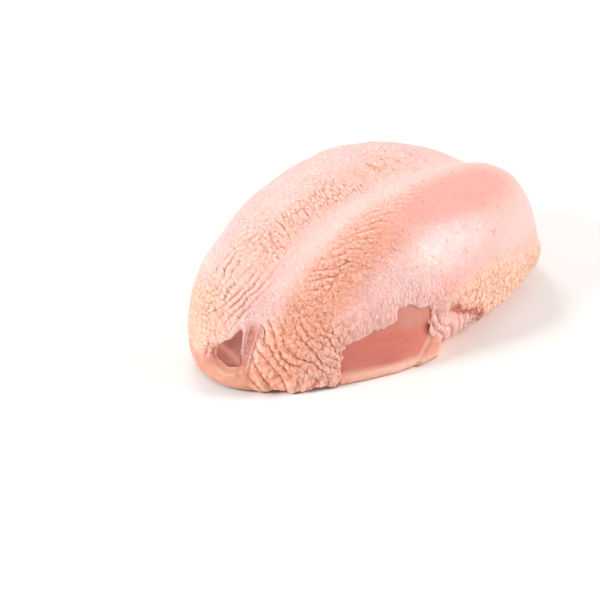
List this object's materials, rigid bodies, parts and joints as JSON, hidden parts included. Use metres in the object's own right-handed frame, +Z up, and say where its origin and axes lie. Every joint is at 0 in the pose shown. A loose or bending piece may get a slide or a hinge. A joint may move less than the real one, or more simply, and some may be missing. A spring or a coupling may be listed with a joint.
{
  "type": "raw chicken breast",
  "caption": "Whole raw poultry breast, both lobes joined along the keel, skin on, with bare muscle at the tail end and at one side, resting on its flat underside.",
  "frame": {"origin": "middle of the flat underside, at the bottom of the bounding box", "axes": "+Y runs from the tail end to the neck end and is the longest extent, +X points to the right lobe, +Z points up and is the shortest extent"},
  "size_m": [0.134, 0.2126, 0.0719],
  "materials": {
    "meat": "moist raw muscle with fine fibres and a thin pale membrane along its lower edge",
    "skin": "moist pale pink skin with rows of small follicle bumps, warmer and yellower in the folds"
  },
  "bodies": {
    "root": {"breast_meat": "meat", "breast_skin": "skin"}
  },
  "joints": []
}
